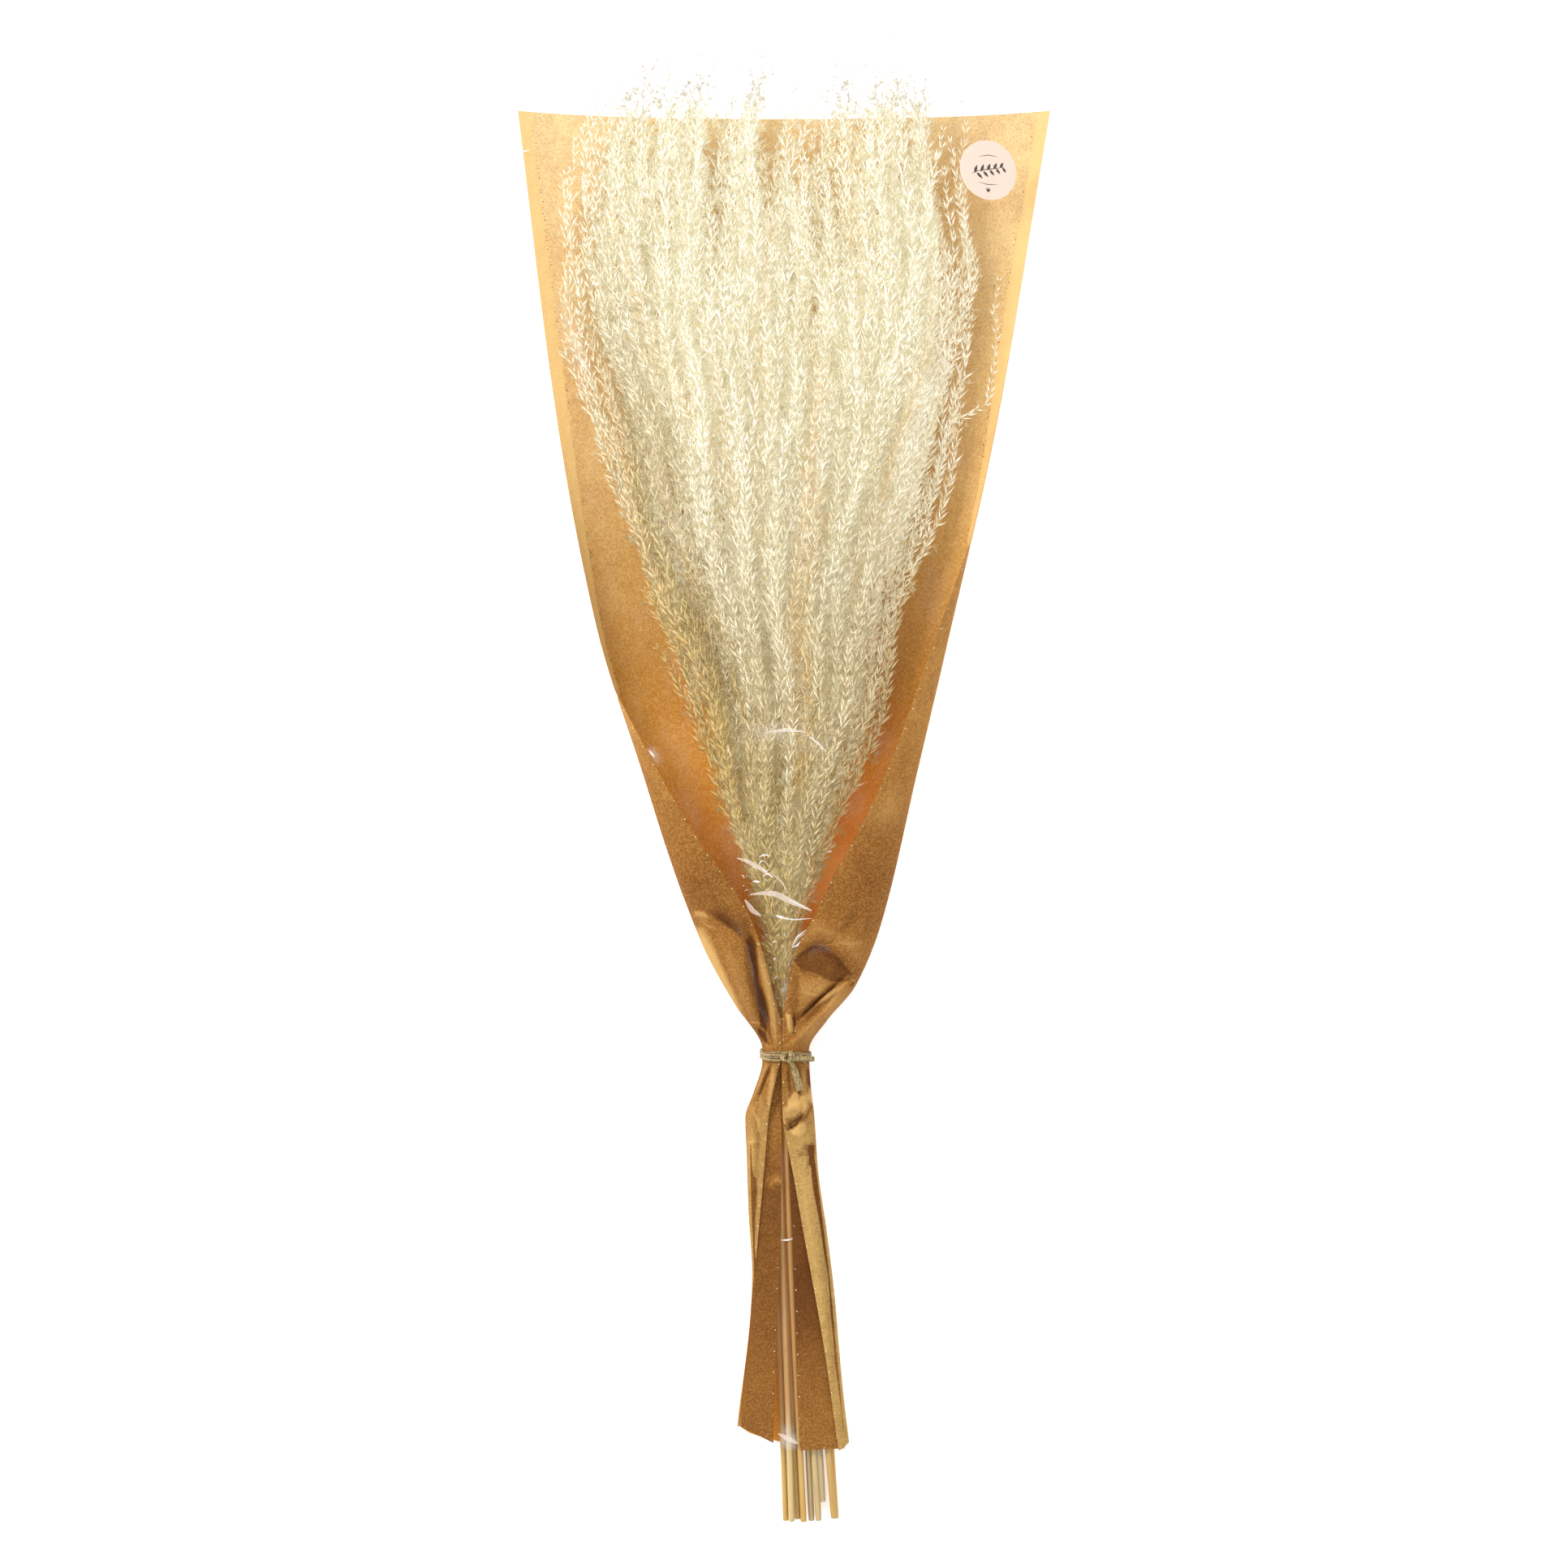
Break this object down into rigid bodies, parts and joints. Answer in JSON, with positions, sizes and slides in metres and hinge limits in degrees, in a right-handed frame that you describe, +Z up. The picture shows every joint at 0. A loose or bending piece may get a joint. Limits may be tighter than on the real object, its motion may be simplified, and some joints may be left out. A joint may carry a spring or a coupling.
{
  "type": "bundle of dried miscanthus",
  "caption": "Tied bundle of dried, feathery grass plumes lying on its back in a sleeve with a kraft paper back and a clear film front, gathered with raffia.",
  "frame": {"origin": "middle of the bundle's footprint, on the surface it lies on", "axes": "+Y from the cut stems to the plume tips, +X to the right seen from above with the tips up, +Z up through the clear front"},
  "size_m": [0.2732, 0.755, 0.0593],
  "materials": {
    "kraft_paper": "matte uncoated brown kraft paper",
    "clear_film": "thin glossy clear polypropylene film",
    "label": "satin coated paper sticker",
    "raffia": "dry fibrous raffia, slightly glossy",
    "dry_stem": "smooth dried straw",
    "plume": "bleached silky plume"
  },
  "bodies": {
    "root": {"kraft_sleeve": "kraft_paper", "clear_front": "clear_film", "round_label": "label", "raffia_tie": "raffia", "stem_band": "clear_film", "stem_01": "dry_stem", "plume_01": "plume", "stem_02": "dry_stem", "plume_02": "plume", "stem_03": "dry_stem", "plume_03": "plume", "stem_04": "dry_stem", "plume_04": "plume", "stem_05": "dry_stem", "plume_05": "plume", "stem_06": "dry_stem", "plume_06": "plume", "stem_07": "dry_stem", "plume_07": "plume", "stem_08": "dry_stem", "plume_08": "plume", "stem_09": "dry_stem", "plume_09": "plume", "stem_10": "dry_stem", "plume_10": "plume"}
  },
  "joints": []
}
